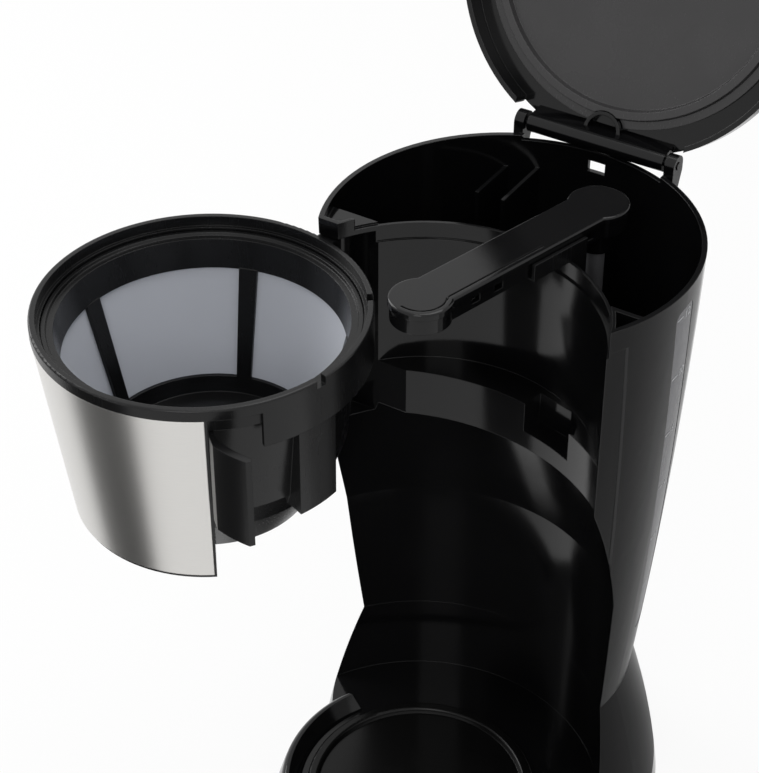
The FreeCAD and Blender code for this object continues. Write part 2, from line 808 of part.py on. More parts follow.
# thin groove that follows the right edge and turns round the outlet
groove_out = 2.6
groove_in = 3.6
groove_floor_z = arm_top_z - 0.7
groove_edge = size("arm_width") / 2
edge_groove = new_sketch(arm_cover, "XY", (outlet_x, 0, groove_floor_z), arm_turn)
rectangle(edge_groove, 8.0, groove_in - groove_edge, 66.0, groove_out - groove_edge)
pocket(arm_cover, edge_groove, 2.0)
cut_turned(arm_cover, [
    (outlet_end_r - groove_in, groove_floor_z),
    (outlet_end_r - groove_out, groove_floor_z),
    (outlet_end_r - groove_out, arm_top_z + 1.0),
    (outlet_end_r - groove_in, arm_top_z + 1.0),
], (outlet_x, 0, 0), -107.0, 133.0)
node("shower_cover", arm_cover)

saddle = new_body("ArmSaddle")
saddle_half = 13.6
saddle_foot_z = 312.0
saddle_block = new_sketch(saddle, "XY", (outlet_x, 0, saddle_foot_z), arm_turn)
rectangle(saddle_block, 56.0, -saddle_half, 90.0, saddle_half)
pad(saddle, saddle_block, arm_split_z - saddle_foot_z - 0.1)
arm_seat = new_sketch(saddle, "XY", (outlet_x, 0, arm_bottom_z - 0.1), arm_turn)
rectangle(arm_seat, 50.0, -11.8, 110.0, 11.8)
pocket(saddle, arm_seat, 20.0)
# the foot behind the wall slopes up towards the rear
foot_slope = new_sketch(saddle, "YZ", (-40.0, 0, 0))
outline(foot_slope, [(84.0, 305.0), (105.0, 305.0), (105.0, 332.0), (84.0, 318.0)])
pocket(saddle, foot_slope, 100.0)
# clears the bay wall it sits on, and the holder's rim in the bay
wall_slot = new_sketch(saddle, "XY", (0, 0, 300.0))
circle(wall_slot, 0, 0, bay_r + wall + 0.1)
pocket(saddle, wall_slot, size("bay_edge_z") + 0.1 - 300.0)
node("arm_saddle", saddle)

# Holder and what hangs on its hinge, drawn closed

steel_from = 17.3
band_from = 35.0
steel_to = 163.0
skirt_sweep = 360.0 - (steel_to - steel_from)
holder_foot_r = size("holder_foot_radius")
skirt_top_z = holder_rim_z - 5.6
skirt_top_r = holder_r - 1.0

holder = new_body("HolderShell")
turned(holder, [
    (5.0, holder_foot_z + 5.0),
    (46.5, holder_foot_z + 5.0),
    (58.5, holder_foot_z + 25.0),
    (63.0, holder_foot_z + 37.0),
    (69.2, holder_rim_z - 12.0),
    (73.2, holder_rim_z - 12.0),
    (73.2, holder_rim_z - 5.5),
    (holder_r, holder_rim_z - 5.5),
    (holder_r, holder_rim_z - 1.0, 1.0),
    (holder_r - 1.0, holder_rim_z),
    (72.2, holder_rim_z),
    (72.2, holder_rim_z - 5.0),
    (70.6, holder_rim_z - 5.0),
    (70.6, holder_rim_z - 9.5),
    (67.4, holder_rim_z - 9.5),
    (60.8, holder_foot_z + 37.5),
    (56.3, holder_foot_z + 25.5),
    (45.5, holder_foot_z + 7.5),
    (5.0, holder_foot_z + 7.5),
])
# plain black band round the rear of the rim
turned(holder, [
    (73.0, holder_rim_z - 23.0),
    (holder_r, holder_rim_z - 23.0),
    (holder_r, holder_rim_z - 5.0),
    (73.0, holder_rim_z - 5.0),
], start=band_from, angle=steel_to - band_from)
# tapered skirt that carries the steel round the front
turned(holder, [
    (44.0, holder_foot_z),
    (holder_foot_r, holder_foot_z),
    (skirt_top_r, skirt_top_z),
    (skirt_top_r - 2.0, skirt_top_z),
    (60.3, holder_foot_z + 2.0),
    (47.0, holder_foot_z + 2.0),
    (47.0, holder_foot_z + 6.0),
    (44.0, holder_foot_z + 6.0),
], start=steel_to, angle=skirt_sweep)
# webs that close the two ends of the skirt
for start in (steel_from - 2.0, steel_to):
    turned(holder, [
        (45.9, holder_foot_z + 1.0),
        (61.5, holder_foot_z + 1.0),
        (73.0, holder_rim_z - 10.0),
        (68.4, holder_rim_z - 10.0),
        (61.8, holder_foot_z + 37.0),
        (57.3, holder_foot_z + 25.0),
        (45.9, holder_foot_z + 6.0),
    ], start=start, angle=2.0)
# guide block on the rear wall, which stands over the notch in the ledge
turned(holder, [
    (60.8, holder_foot_z + 31.0),
    (71.0, holder_foot_z + 31.0),
    (71.4, holder_rim_z - 22.5),
    (66.8, holder_rim_z - 22.5),
], start=49.5, angle=17.5)
# drip outlet with the spring's recess
turned(holder, [
    (8.3, holder_foot_z - 5.0),
    (10.5, holder_foot_z - 5.0),
    (12.5, holder_foot_z + 5.5),
    (8.3, holder_foot_z + 5.5),
])
# hinge arm and knuckle
hinge_reach = math.hypot(float(hinge_x), float(hinge_y))
hinge_turn = math.degrees(math.atan2(float(hinge_y), float(hinge_x)))
hinge_arm = new_sketch(holder, "XY", (0, 0, holder_rim_z - 23.0), hinge_turn)
rectangle(hinge_arm, 73.5, -4.5, hinge_reach, 4.5)
pad(holder, hinge_arm, 20.8)
knuckle_foot_z = 294.4
knuckle_height = holder_rim_z - 1.9 - knuckle_foot_z
disc(holder, hinge_x, hinge_y, 5.5, knuckle_foot_z, knuckle_height)
bore(holder, hinge_x, hinge_y, size("hinge_pin_radius") + gap, 280.0, 60.0)
# two notches across the rear of the rim
for notch_turn in (57.0, 107.0):
    notch = new_sketch(holder, "XY", (0, 0, holder_rim_z - 4.0), notch_turn)
    rectangle(notch, 70.0, -2.5, 80.0, 2.5)
    pocket(holder, notch, 8.0)
node("holder_shell", holder, holder_nodes)

steel = new_body("SteelBand")
gauge = size("steel_gauge")
turned(steel, [
    (holder_foot_r + 0.35, holder_foot_z + 2.2),
    (holder_foot_r + 0.35 + gauge, holder_foot_z + 2.2),
    (skirt_top_r + gauge + 0.05, skirt_top_z),
    (skirt_top_r + 0.05, skirt_top_z),
], start=steel_to + 1.0, angle=skirt_sweep - 2.0)
node("steel_band", steel, holder_nodes)

grip = new_body("HolderGrip")
grip_low = holder_foot_z + 45.0
grip_high = holder_rim_z - 12.1
grip_plan = new_sketch(grip, "XY", (0, 0, grip_low))
outline(grip_plan, [
    (66.8, 21.1),
    (72.9, 23.0),
    (78.6, 26.2, 60.0),
    (86.2, 42.2),
    (84.8, 44.2),
    (83.2, 43.6, -60.0),
    (75.2, 28.0),
    (72.2, 25.0),
    (66.1, 23.1),
])
pad(grip, grip_plan, grip_high - grip_low)
node("holder_grip", grip, holder_nodes)

# Reusable filter: a frame with upright ribs and the mesh outside it

filter_frame = new_body("FilterFrame")
flange_z = holder_rim_z - 9.3
mesh_foot_z = holder_foot_z + 27.0
mesh_head_z = flange_z - 13.0
turned(filter_frame, [
    (63.0, mesh_head_z),
    (64.6, mesh_head_z),
    (66.2, flange_z),
    (70.2, flange_z),
    (70.2, flange_z + 3.0),
    (68.4, flange_z + 3.0),
    (67.8, flange_z + 1.6),
    (65.0, flange_z + 1.6),
])
turned(filter_frame, [
    (0, mesh_foot_z - 10.0),
    (49.0, mesh_foot_z - 10.0),
    (51.3, mesh_foot_z),
    (49.7, mesh_foot_z),
    (47.8, mesh_foot_z - 8.0),
    (0, mesh_foot_z - 8.0),
])
rib_count = 5
rib_width = 8.0
for rib in range(rib_count):
    turned(filter_frame, [
        (49.2, mesh_foot_z - 1.0),
        (51.1, mesh_foot_z - 1.0),
        (64.65, mesh_head_z + 0.5),
        (62.8, mesh_head_z + 0.5),
    ], start=173.0 + 360.0 / rib_count * rib, angle=rib_width)
node("filter_frame", filter_frame, holder_nodes)

mesh = new_body("FilterMesh")
turned(mesh, [
    (51.4, mesh_foot_z - 0.5),
    (51.8, mesh_foot_z - 0.5),
    (65.15, mesh_head_z),
    (64.75, mesh_head_z),
])
node("filter_mesh", mesh, holder_nodes)

# Drip-stop valve: pushed up by a carafe, pushed down by its spring

valve_button_z = holder_foot_z - 9.5
valve = new_body("ValveStem")
turned(valve, [
    (0, valve_button_z),
    (6.6, valve_button_z),
    (7.6, valve_button_z + 1.0),
    (7.6, valve_button_z + 4.5),
    (2.5, valve_button_z + 4.5),
    (2.5, holder_foot_z + 7.6),
    (4.5, holder_foot_z + 7.6),
    (4.5, holder_foot_z + 8.2),
    (2.5, holder_foot_z + 8.2),
    (2.5, holder_foot_z + 11.0),
    (0, holder_foot_z + 12.0),
])
node("valve_stem", valve, holder_nodes)

valve_seal = new_body("ValveSeal")
turned(valve_seal, [
    (2.5, holder_foot_z + 8.25),
    (5.0, holder_foot_z + 8.25),
    (8.2, holder_foot_z + 7.6),
    (8.2, holder_foot_z + 9.2),
    (2.5, holder_foot_z + 10.2),
])
node("valve_seal", valve_seal, holder_nodes)

valve_spring = new_body("ValveSpring")
turned(valve_spring, [
    (5.7, valve_button_z + 4.6),
    (6.7, valve_button_z + 4.6),
    (6.7, holder_foot_z + 4.9),
    (5.7, holder_foot_z + 4.9),
])
node("valve_spring", valve_spring, holder_nodes)

holder_pin = new_body("HolderPin")
disc(holder_pin, hinge_x, hinge_y, size("hinge_pin_radius"), 282.0, 53.5)
disc(holder_pin, hinge_x, hinge_y, 4.0, 281.0, 2.9)
node("holder_hinge_pin", holder_pin)

# Lid, drawn closed: two round outlines in one, a lowered front skirt and a hinge barrel

lid = new_body("LidShell")
lid_r = size("lid_radius")
lid_front_r = size("lid_front_radius")
lid_edge_z = size("lid_edge_z")
lid_top_z = size("lid_top_z")
lid_front_z = lid_edge_z - 6.0
disc(lid, 0, body_y, lid_r, lid_edge_z, lid_top_z - lid_edge_z)
disc(lid, 0, 0, lid_front_r, lid_front_z, lid_top_z - lid_front_z)
cut_block(lid, -90.0, 10.0, 90.0, 90.0, lid_front_z - 1.0, 7.0)
fillet(lid, 5.0, flat_at(float(lid_top_z)))
bore(lid, 0, body_y, lid_r - wall, lid_edge_z - 10.0, lid_top_z - wall - lid_edge_z + 10.0)
bore(lid, 0, 0, lid_front_r - wall, lid_edge_z - 10.0, lid_top_z - wall - lid_edge_z + 10.0)
cut_block(lid, -44.5, 140.0, 44.5, 170.0, 330.0, lid_top_z - wall - 330.0)
# arch at the middle of the hinge that stops the open lid
arch_y = lid_y - 5.0
disc(lid, 0, arch_y, 9.5, lid_top_z - wall - 5.0, 5.2)
bore(lid, 0, arch_y, 7.7, lid_top_z - wall - 6.0, 6.0)
barrel_half = 36.0
barrel = new_sketch(lid, "YZ", (-barrel_half, 0, 0))
circle(barrel, lid_y, lid_z, 4.6)
pad(lid, barrel, barrel_half * 2)
hanger = new_sketch(lid, "YZ", (-barrel_half, 0, 0))
outline(hanger, [
    (lid_y - 8.0, lid_top_z - wall + 0.5),
    (lid_y - 4.4, lid_z - 1.0),
    (lid_y, lid_z - 1.0),
    (lid_y + 3.0, lid_top_z - wall + 0.5),
])
pad(lid, hanger, barrel_half * 2)
barrel_bore = new_sketch(lid, "YZ", (-50.0, 0, 0))
circle(barrel_bore, lid_y, lid_z, size("lid_pin_radius") + gap)
pocket(lid, barrel_bore, 100.0)
node("lid_shell", lid, lid_nodes)

lid_liner = new_body("LidLiner")
liner_y = body_y - 3.0
liner_z = lid_top_z - wall - 0.1
turned(lid_liner, [
    (0, liner_z - 1.6),
    (69.5, liner_z - 1.6),
    (70.5, liner_z - 4.4),
    (74.3, liner_z - 4.4),
    (74.9, liner_z - 1.6),
    (79.0, liner_z - 1.6),
    (79.0, liner_z),
    (0, liner_z),
], (0, liner_y, 0))
bore(lid_liner, 0, arch_y, 9.8, liner_z - 6.0, 8.0)
node("lid_liner", lid_liner, lid_nodes)

lid_pin = new_body("LidPin")
lid_pin_section = new_sketch(lid_pin, "YZ", (-43.0, 0, 0))
circle(lid_pin_section, lid_y, lid_z, size("lid_pin_radius"))
pad(lid_pin, lid_pin_section, 86.0)
node("lid_hinge_pin", lid_pin)

# Switch in the base's front, and the gland in its rear

switch_y = -77.6
bezel = new_body("SwitchBezel")
bezel_plan = new_sketch(bezel, "XZ", (0, switch_y, 0))
rectangle(bezel_plan, -12.9, switch_z - 7.9, 12.9, switch_z + 7.9)
pad(bezel, bezel_plan, 9.0, down=True)
bezel_hole = new_sketch(bezel, "XZ", (0, switch_y, 0))
rectangle(bezel_hole, -10.6, switch_z - 5.8, 10.6, switch_z + 5.8)
pocket(bezel, bezel_hole, 7.0, up=False)
pivot_y = switch_y + 3.0
pivot_r = 1.2
pivot_hole = new_sketch(bezel, "YZ", (-12.3, 0, 0))
circle(pivot_hole, pivot_y, switch_z, pivot_r + gap)
pocket(bezel, pivot_hole, 24.6)
node("switch_bezel", bezel)

rocker = new_body("SwitchRocker")
rocker_plan = new_sketch(rocker, "YZ", (-10.2, 0, 0))
rocker_tilt = 7.0
outline(rocker_plan, [
    (pivot_y - 3.4, switch_z - 5.1),
    (pivot_y + 1.2, switch_z - 5.1),
    (pivot_y + 2.6, switch_z),
    (pivot_y + 1.2, switch_z + 5.1),
    (pivot_y - 3.4, switch_z + 5.1),
    (pivot_y - 2.4, switch_z),
])
pad(rocker, rocker_plan, 20.4)
pivots = new_sketch(rocker, "YZ", (-12.0, 0, 0))
circle(pivots, pivot_y, switch_z, pivot_r)
pad(rocker, pivots, 24.0)
rocker.Placement = Placement(
    Vector(0, 0, 0),
    Rotation(Vector(1, 0, 0), -rocker_tilt),
    Vector(0, pivot_y, switch_z),
)
node("switch_rocker", rocker)

gland = new_body("CordGland")
gland_y = body_y + 83.0
gland_neck = new_sketch(gland, "XZ", (0, gland_y, 0))
circle(gland_neck, 0, gland_z, 4.95)
pad(gland, gland_neck, 8.0, down=True)
gland_flange = new_sketch(gland, "XZ", (0, gland_y + 7.4, 0))
circle(gland_flange, 0, gland_z, 7.0)
pad(gland, gland_flange, 2.4, down=True)
gland_bore = new_sketch(gland, "XZ", (0, gland_y - 10.0, 0))
circle(gland_bore, 0, gland_z, 3.4)
pocket(gland, gland_bore, 30.0, up=False)
node("cord_gland", gland)

# Open the lid and swing the holder out

holder_open = Placement(
    Vector(0, 0, 0),
    Rotation(Vector(0, 0, 1), -DRIVING_SIZES["swing"]),
    Vector(float(hinge_x), float(hinge_y), 0),
)
lid_raised = Placement(
    Vector(0, 0, 0),
    Rotation(Vector(1, 0, 0), -DRIVING_SIZES["lid_open"]),
    Vector(0, float(lid_y), float(lid_z)),
)
for made in holder_nodes:
    made.Placement = holder_open
for made in lid_nodes:
    made.Placement = lid_raised
doc.recompute()

# Test every object before writing the parts

for made in doc.Objects:
    if "Invalid" in made.State or "Error" in made.State:
        raise RuntimeError("%s (%s) failed: %s" % (made.Name, made.Label, made.State))
    if made.TypeId in ("PartDesign::Pocket", "PartDesign::Groove"):
        if made.Shape.Volume > made.BaseFeature.Shape.Volume - 0.05:
            raise RuntimeError("%s cuts nothing" % made.Name)
for made in nodes:
    if made.Shape.isNull() or not made.Shape.isValid():
        raise RuntimeError("%s has no valid shape" % made.Label)

os.makedirs("parts", exist_ok=True)
for made in nodes:
    made.Shape.exportStep("parts/%s.step" % made.Label)
    print("%-20s solids %d volume %.0f" % (made.Label, len(made.Shape.Solids), made.Shape.Volume))
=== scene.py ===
import math

import bmesh
import bpy
from bpy.props import FloatProperty, FloatVectorProperty, IntProperty, PointerProperty
from bpy.types import Operator, Panel, PropertyGroup
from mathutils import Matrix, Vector


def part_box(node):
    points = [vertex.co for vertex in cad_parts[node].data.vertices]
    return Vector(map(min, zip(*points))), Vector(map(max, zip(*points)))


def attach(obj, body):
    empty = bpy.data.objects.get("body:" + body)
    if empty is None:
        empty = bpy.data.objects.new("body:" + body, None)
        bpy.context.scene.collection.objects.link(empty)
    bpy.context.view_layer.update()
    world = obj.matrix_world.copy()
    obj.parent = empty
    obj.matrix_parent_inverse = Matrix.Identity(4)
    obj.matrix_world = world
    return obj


bl_info = {
    "name": "Drip Coffee Maker Looks",
    "version": (1, 0, 0),
    "blender": (4, 5, 0),
    "location": "3D View > Sidebar > Coffee Maker",
    "description": "Finishes, marks and studio for a drip coffee maker with a swing-out filter holder",
    "category": "Object",
}

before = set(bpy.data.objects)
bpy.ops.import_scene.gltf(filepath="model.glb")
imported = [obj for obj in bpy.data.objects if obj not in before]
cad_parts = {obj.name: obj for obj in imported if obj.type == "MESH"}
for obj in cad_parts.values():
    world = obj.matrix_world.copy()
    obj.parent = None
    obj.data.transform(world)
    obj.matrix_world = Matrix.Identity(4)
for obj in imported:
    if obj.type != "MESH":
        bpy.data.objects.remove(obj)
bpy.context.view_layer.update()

MM = 0.001

# Tower and level window, as in the part's source
TOWER_AXIS_Y = 73.0 * MM
WAIST_RADIUS = 72.0 * MM
RIM_RADIUS = 88.0 * MM
FLANK_SAG = 2.4 * MM
SEAM_Z = 86.0 * MM
RIM_Z = 340.0 * MM
WINDOW_TURN = math.radians(5.8)
WINDOW_LEAN = math.radians(5.0)
WINDOW_HALF = 8.0 * MM
WINDOW_MID_Z = 227.5 * MM
# The window's face lies 0.15 mm within the flank, and the print 0.06 mm above that face
PRINT_LIFT = -0.09 * MM

# Grain of moulded skins: noise scale and depth of relief
POLISHED_GRAIN = (700.0, 0.00002)
MOULDED_GRAIN = (1500.0, 0.00004)
PLATED_GRAIN = (1800.0, 0.00001)
RUBBER_GRAIN = (1300.0, 0.00008)
TUBE_GRAIN = (1200.0, 0.00002)
SILICONE_GRAIN = (900.0, 0.00002)
COATING_GRAIN = (2400.0, 0.00006)
DRAWN_GRAIN = (900.0, 0.00003)
WINDOW_GRAIN = (500.0, 0.00001)
PRINT_GRAIN = (2500.0, 0.00001)

BRUSH_DENSITY = 5200.0
BRUSH_ANISOTROPY = 0.6
MESH_THREADS = 660.0
MESH_RISE = 0.055

# Lamps: name, place, size and power; all aim at the middle of the machine
LAMP_AIM = (-0.02, 0.02, 0.25)
LAMPS = (
    ("key", (-1.5, 0.1, 1.2), (0.9, 1.2), 14.0),
    ("fill", (0.5, -1.5, 1.5), (0.7, 0.9), 7.0),
    ("top", (0.1, 0.5, 1.9), (1.2, 0.8), 9.0),
)
FLOOR_TONE = (0.97, 0.97, 0.97, 1.0)
FLOOR_GLOW = 0.9
WORLD_LIGHT = 0.4
WORLD_SEEN = 1.0


def colour_prop(name, description, default):
    """Colour setting with plain limits."""
    return FloatVectorProperty(
        name=name, description=description, default=default, subtype="COLOR", size=3, min=0.0, max=1.0
    )


class FinishSettings(PropertyGroup):
    gloss_black: colour_prop(
        "Gloss black", "Polished plastic of the tower, base, lid and arm", (0.0035, 0.0035, 0.0038)
    )
    satin_black: colour_prop(
        "Satin black", "Moulded plastic of the holder and filter frame", (0.0045, 0.0045, 0.0048)
    )
    liner_black: colour_prop("Liner black", "Inner plate of the lid", (0.034, 0.033, 0.034))
    steel: colour_prop("Steel", "Brushed steel round the holder's front", (0.62, 0.61, 0.59))
    zinc: colour_prop("Zinc", "Plated screws and clamps", (0.55, 0.56, 0.58))
    aluminium: colour_prop("Aluminium", "Drawn tube of the heater", (0.62, 0.62, 0.63))
    tube_grey: colour_prop("Tube grey", "Riser tube and check valve", (0.12, 0.12, 0.125))
    silicone: colour_prop("Silicone", "Hoses and the valve's seal", (0.62, 0.61, 0.57))
    rubber: colour_prop("Rubber", "Feet, plate seal and cord gland", (0.018, 0.018, 0.018))
    mesh_cloth: colour_prop("Filter mesh", "Woven mesh of the reusable filter", (0.55, 0.57, 0.62))
    plate_coat: colour_prop("Plate coating", "Non-stick coating of the hot plate", (0.003, 0.003, 0.003))
    window_smoke: colour_prop("Window smoke", "Tinted plastic of the level window", (0.125, 0.125, 0.135))
    mark_white: colour_prop("Mark white", "Printed level marks", (0.62, 0.63, 0.65))
    gloss_roughness: FloatProperty(
        name="Gloss roughness", description="Roughness of the polished plastic",
        default=0.11, min=0.02, max=0.6,
    )
    black_specular: FloatProperty(
        name="Black specular", description="Strength of the black plastic's reflection",
        default=0.3, min=0.0, max=1.0,
    )
    edge_radius: FloatProperty(
        name="Edge radius", description="Rounding that catches light along moulded edges",
        default=0.0005, min=0.0, max=0.003, unit="LENGTH", precision=5,
    )
    satin_roughness: FloatProperty(
        name="Satin roughness", description="Roughness of the moulded plastic",
        default=0.24, min=0.05, max=0.8,
    )
    steel_roughness: FloatProperty(
        name="Steel roughness", description="Mean roughness of the brushed steel",
        default=0.30, min=0.1, max=0.7,
    )


class MarkSettings(PropertyGroup):
    lowest: FloatProperty(
        name="Lowest mark", description="Height of the lowest level mark", default=0.155, unit="LENGTH"
    )
    spacing: FloatProperty(
        name="Mark spacing", description="Height between numbered marks", default=0.0343, unit="LENGTH"
    )
    count: IntProperty(
        name="Marks", description="Numbered marks on the level window", default=6, min=1, max=12
    )
    line_length: FloatProperty(
        name="Line length", description="Length of a mark's line", default=0.0055, unit="LENGTH"
    )
    line_width: FloatProperty(
        name="Line width", description="Width of a mark's line", default=0.0005, unit="LENGTH"
    )
    number_height: FloatProperty(
        name="Number height", description="Height of the numbers", default=0.0042, unit="LENGTH"
    )


class StageSettings(PropertyGroup):
    azimuth: FloatProperty(
        name="Azimuth", description="Camera's turn from the front towards the right",
        default=math.radians(31.96), subtype="ANGLE",
    )
    elevation: FloatProperty(
        name="Elevation", description="Camera's height above the horizon",
        default=math.radians(37.10), subtype="ANGLE",
    )
    distance: FloatProperty(
        name="Distance", description="Camera's distance from its target", default=0.932, unit="LENGTH"
    )
    target: FloatVectorProperty(
        name="Target", description="Point at the middle of the picture",
        default=(-0.0244, 0.0, 0.2892), subtype="TRANSLATION", size=3,
    )
    lens: FloatProperty(
        name="Lens", description="Focal length in millimetres on a 36 mm sensor", default=97.15, min=10.0
    )
    floor_size: FloatProperty(
        name="Floor size", description="Side of the pale floor", default=12.0, unit="LENGTH"
    )


# Shader node helpers

def add_node(tree, kind, **values):
    """Add a shader node; inputs are set by socket name, other words are node settings."""
    made = tree.nodes.new(kind)
    for name, value in values.items():
        if name in made.inputs:
            made.inputs[name].default_value = value
        else:
            setattr(made, name, value)
    return made


def link(tree, source, output, target, socket):
    """Join a node's named output to another node's named input."""
    tree.links.new(source.outputs[output], target.inputs[socket])


def math_node(tree, operation, first, second=None):
    """Math on two values; each is a number or a (node, output) pair."""
    made = tree.nodes.new("ShaderNodeMath")
    made.operation = operation
    for index, term in enumerate((first, second)):
        if term is None:
            continue
        if isinstance(term, tuple):
            tree.links.new(term[0].outputs[term[1]], made.inputs[index])
        else:
            made.inputs[index].default_value = term
    return made


def new_group(name, inputs, outputs):
    """Shader node group with named value sockets; returns the tree and its two end nodes."""
    tree = bpy.data.node_groups.new(name, "ShaderNodeTree")
    for label, default in inputs:
        socket = tree.interface.new_socket(name=label, in_out="INPUT", socket_type="NodeSocketFloat")
        socket.default_value = default
    for label in outputs:
        tree.interface.new_socket(name=label, in_out="OUTPUT", socket_type="NodeSocketFloat")
    return tree, tree.nodes.new("NodeGroupInput"), tree.nodes.new("NodeGroupOutput")


def mould_grain_group():
    """Fine moulded skin: a height for bump, from two sizes of noise."""
    tree, start, end = new_group("Mould grain", [("Scale", 900.0), ("Waviness", 0.3)], ["Height"])
    place = add_node(tree, "ShaderNodeTexCoord")
    fine = add_node(tree, "ShaderNodeTexNoise", Detail=3.0, Roughness=0.55)
    wave = add_node(tree, "ShaderNodeTexNoise", Scale=38.0, Detail=1.0)
    link(tree, place, "Object", fine, "Vector")
    link(tree, place, "Object", wave, "Vector")
    link(tree, start, "Scale", fine, "Scale")
    swell = math_node(tree, "MULTIPLY", (wave, "Fac"), (start, "Waviness"))
    total = math_node(tree, "ADD", (fine, "Fac"), (swell, "Value"))
    link(tree, total, "Value", end, "Height")
    return tree


def handling_group():
    """Handling marks: soft smudges and faint hairlines that change the roughness."""
    tree, start, end = new_group(
        "Handling marks",
        [("Roughness", 0.2), ("Smudges", 0.05), ("Hairlines", 0.03)],
        ["Roughness", "Mask"],
    )
    place = add_node(tree, "ShaderNodeTexCoord")
    cloud = add_node(tree, "ShaderNodeTexNoise", Scale=22.0, Detail=5.0, Roughness=0.62)
    link(tree, place, "Object", cloud, "Vector")
    smudge = add_node(tree, "ShaderNodeMapRange")
    smudge.inputs["From Min"].default_value = 0.46
    smudge.inputs["From Max"].default_value = 0.72
    link(tree, cloud, "Fac", smudge, "Value")
    stretch = add_node(tree, "ShaderNodeMapping")
    stretch.inputs["Scale"].default_value = (1200.0, 1200.0, 60.0)
    stretch.inputs["Rotation"].default_value = (0.5, 0.3, 0.2)
    link(tree, place, "Object", stretch, "Vector")
    hair = add_node(tree, "ShaderNodeTexNoise", Scale=1.0, Detail=2.0)
    link(tree, stretch, "Vector", hair, "Vector")
    lines = add_node(tree, "ShaderNodeMapRange")
    lines.inputs["From Min"].default_value = 0.60
    lines.inputs["From Max"].default_value = 0.70
    link(tree, hair, "Fac", lines, "Value")
    cloudy = math_node(tree, "MULTIPLY", (smudge, "Result"), (start, "Smudges"))
    scratched = math_node(tree, "MULTIPLY", (lines, "Result"), (start, "Hairlines"))
    marks = math_node(tree, "ADD", (cloudy, "Value"), (scratched, "Value"))
    total = math_node(tree, "ADD", (marks, "Value"), (start, "Roughness"))
    link(tree, total, "Value", end, "Roughness")
    link(tree, smudge, "Result", end, "Mask")
    return tree


def brushing_group():
    """Brushing round an upright axis: hairlines that run round it, with slow drifts of tone."""
    tree, start, end = new_group(
        "Brushing", [("Axis X", 0.0), ("Axis Y", 0.0), ("Line density", 5200.0)], ["Lines", "Drift"]
    )
    place = add_node(tree, "ShaderNodeTexCoord")
    parts = add_node(tree, "ShaderNodeSeparateXYZ")
    link(tree, place, "Object", parts, "Vector")
    dx = math_node(tree, "SUBTRACT", (parts, "X"), (start, "Axis X"))
    dy = math_node(tree, "SUBTRACT", (parts, "Y"), (start, "Axis Y"))
    turn = math_node(tree, "ARCTAN2", (dy, "Value"), (dx, "Value"))
    height = math_node(tree, "MULTIPLY", (parts, "Z"), (start, "Line density"))
    flat = add_node(tree, "ShaderNodeCombineXYZ")
    slow_turn = math_node(tree, "MULTIPLY", (turn, "Value"), 7.0)
    link(tree, slow_turn, "Value", flat, "X")
    link(tree, height, "Value", flat, "Y")
    lines = add_node(tree, "ShaderNodeTexNoise", Scale=1.0, Detail=4.0, Roughness=0.7)
    link(tree, flat, "Vector", lines, "Vector")
    wide = add_node(tree, "ShaderNodeCombineXYZ")
    wide_height = math_node(tree, "MULTIPLY", (parts, "Z"), 420.0)
    link(tree, slow_turn, "Value", wide, "X")
    link(tree, wide_height, "Value", wide, "Y")
    drift = add_node(tree, "ShaderNodeTexNoise", Scale=1.0, Detail=2.0)
    link(tree, wide, "Vector", drift, "Vector")
    link(tree, lines, "Fac", end, "Lines")
    link(tree, drift, "Fac", end, "Drift")
    return tree


GROUP_BUILDERS = {
    "Mould grain": mould_grain_group,
    "Handling marks": handling_group,
    "Brushing": brushing_group,
}


def place_group(tree, name, **values):
    """Put a shared effect into a material, built on first use."""
    made = tree.nodes.new("ShaderNodeGroup")
    made.node_tree = bpy.data.node_groups.get(name) or GROUP_BUILDERS[name]()
    for label, value in values.items():
        made.inputs[label.replace("_", " ")].default_value = value
    return made


def new_material(name):
    """Empty node material with its Principled shader."""
    material = bpy.data.materials.new(name)
    material.use_nodes = True
    return material, material.node_tree, material.node_tree.nodes["Principled BSDF"]


def tint(tree, shader, colour, mask, output, strength):
    """Base colour that lightens a little where a mask is strong."""
    mix = add_node(tree, "ShaderNodeMix", data_type="RGBA")
    low, high = mix.inputs[6], mix.inputs[7]
    low.default_value = (*colour, 1.0)
    high.default_value = (*[min(1.0, c * (1.0 + strength)) for c in colour], 1.0)
    tree.links.new(mask.outputs[output], mix.inputs[0])
    tree.links.new(mix.outputs[2], shader.inputs["Base Color"])


def bump_from(tree, shader, source, output, strength, depth):
    """Surface relief from a height, over edges that are softened a little."""
    edges = add_node(tree, "ShaderNodeBevel", samples=4, Radius=finishes().edge_radius)
    bump = add_node(tree, "ShaderNodeBump", Strength=strength, Distance=depth)
    link(tree, edges, "Normal", bump, "Normal")
    link(tree, source, output, bump, "Height")
    link(tree, bump, "Normal", shader, "Normal")


def plastic(name, colour, roughness, grain, smudges=0.05, hairlines=0.03, specular=0.5):
    """Moulded plastic, rubber or plated metal with grain, smudges and hairlines."""
    scale, depth = grain
    material, tree, shader = new_material(name)
    shader.inputs["Specular IOR Level"].default_value = specular
    marks = place_group(tree, "Handling marks", Roughness=roughness, Smudges=smudges, Hairlines=hairlines)
    link(tree, marks, "Roughness", shader, "Roughness")
    tint(tree, shader, colour, marks, "Mask", 0.25)
    skin = place_group(tree, "Mould grain", Scale=scale)
    bump_from(tree, shader, skin, "Height", 0.35, depth)
    return material


